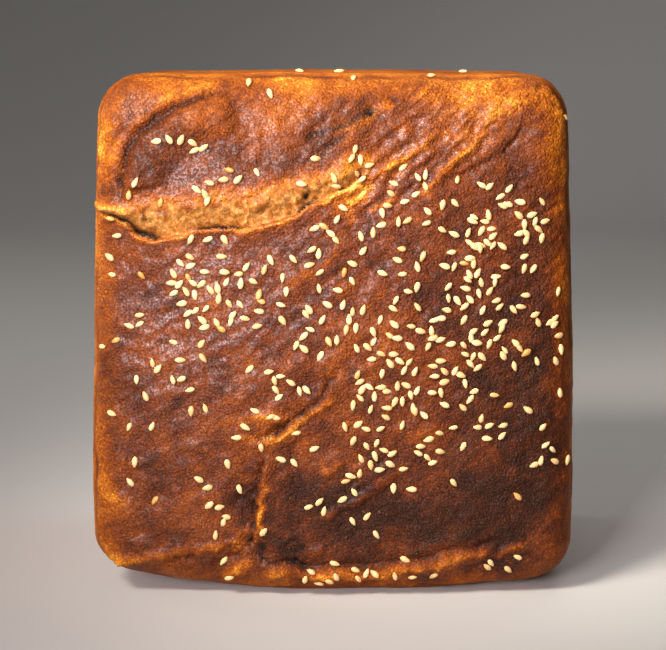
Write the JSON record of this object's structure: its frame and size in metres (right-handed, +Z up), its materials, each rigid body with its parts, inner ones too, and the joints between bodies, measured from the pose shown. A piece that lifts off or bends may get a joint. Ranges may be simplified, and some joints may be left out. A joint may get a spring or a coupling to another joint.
{
  "type": "tin loaf",
  "caption": "Square tin loaf with a dark, burst and folded top crust scattered with sesame seeds, stood on one tin side with the crust facing forwards.",
  "frame": {"origin": "on the surface the loaf stands on, under the middle of its bounding box", "axes": "+Z up, -Y out of the seeded top crust, +Y out of the base that lay in the tin, +X to the right as the top crust is faced"},
  "size_m": [0.147, 0.1146, 0.1585],
  "materials": {
    "crust": "satin baked crust, dark brown on top, orange brown on the tin sides, golden where it is torn",
    "sesame_seed": "smooth cream seed with a soft sheen"
  },
  "bodies": {
    "root": {"loaf": "crust", "sesame_01": "sesame_seed", "sesame_02": "sesame_seed", "sesame_03": "sesame_seed", "sesame_04": "sesame_seed", "sesame_05": "sesame_seed", "sesame_06": "sesame_seed", "sesame_07": "sesame_seed", "sesame_08": "sesame_seed", "sesame_09": "sesame_seed", "sesame_10": "sesame_seed", "sesame_11": "sesame_seed", "sesame_12": "sesame_seed", "sesame_13": "sesame_seed", "sesame_14": "sesame_seed", "sesame_15": "sesame_seed", "sesame_16": "sesame_seed", "sesame_17": "sesame_seed", "sesame_18": "sesame_seed", "sesame_19": "sesame_seed", "sesame_20": "sesame_seed", "sesame_21": "sesame_seed", "sesame_22": "sesame_seed", "sesame_23": "sesame_seed", "sesame_24": "sesame_seed", "sesame_25": "sesame_seed", "sesame_26": "sesame_seed", "sesame_27": "sesame_seed", "sesame_28": "sesame_seed", "sesame_29": "sesame_seed", "sesame_30": "sesame_seed", "sesame_31": "sesame_seed", "sesame_32": "sesame_seed", "sesame_33": "sesame_seed", "sesame_34": "sesame_seed", "sesame_35": "sesame_seed", "sesame_36": "sesame_seed", "sesame_37": "sesame_seed", "sesame_38": "sesame_seed", "sesame_39": "sesame_seed", "sesame_40": "sesame_seed", "sesame_41": "sesame_seed", "sesame_42": "sesame_seed", "sesame_43": "sesame_seed", "sesame_44": "sesame_seed", "sesame_45": "sesame_seed", "sesame_46": "sesame_seed", "sesame_47": "sesame_seed", "sesame_48": "sesame_seed", "sesame_49": "sesame_seed", "sesame_50": "sesame_seed", "sesame_51": "sesame_seed", "sesame_52": "sesame_seed", "sesame_53": "sesame_seed", "sesame_54": "sesame_seed", "sesame_55": "sesame_seed", "sesame_56": "sesame_seed", "sesame_57": "sesame_seed", "sesame_58": "sesame_seed", "sesame_59": "sesame_seed"}
  },
  "joints": []
}
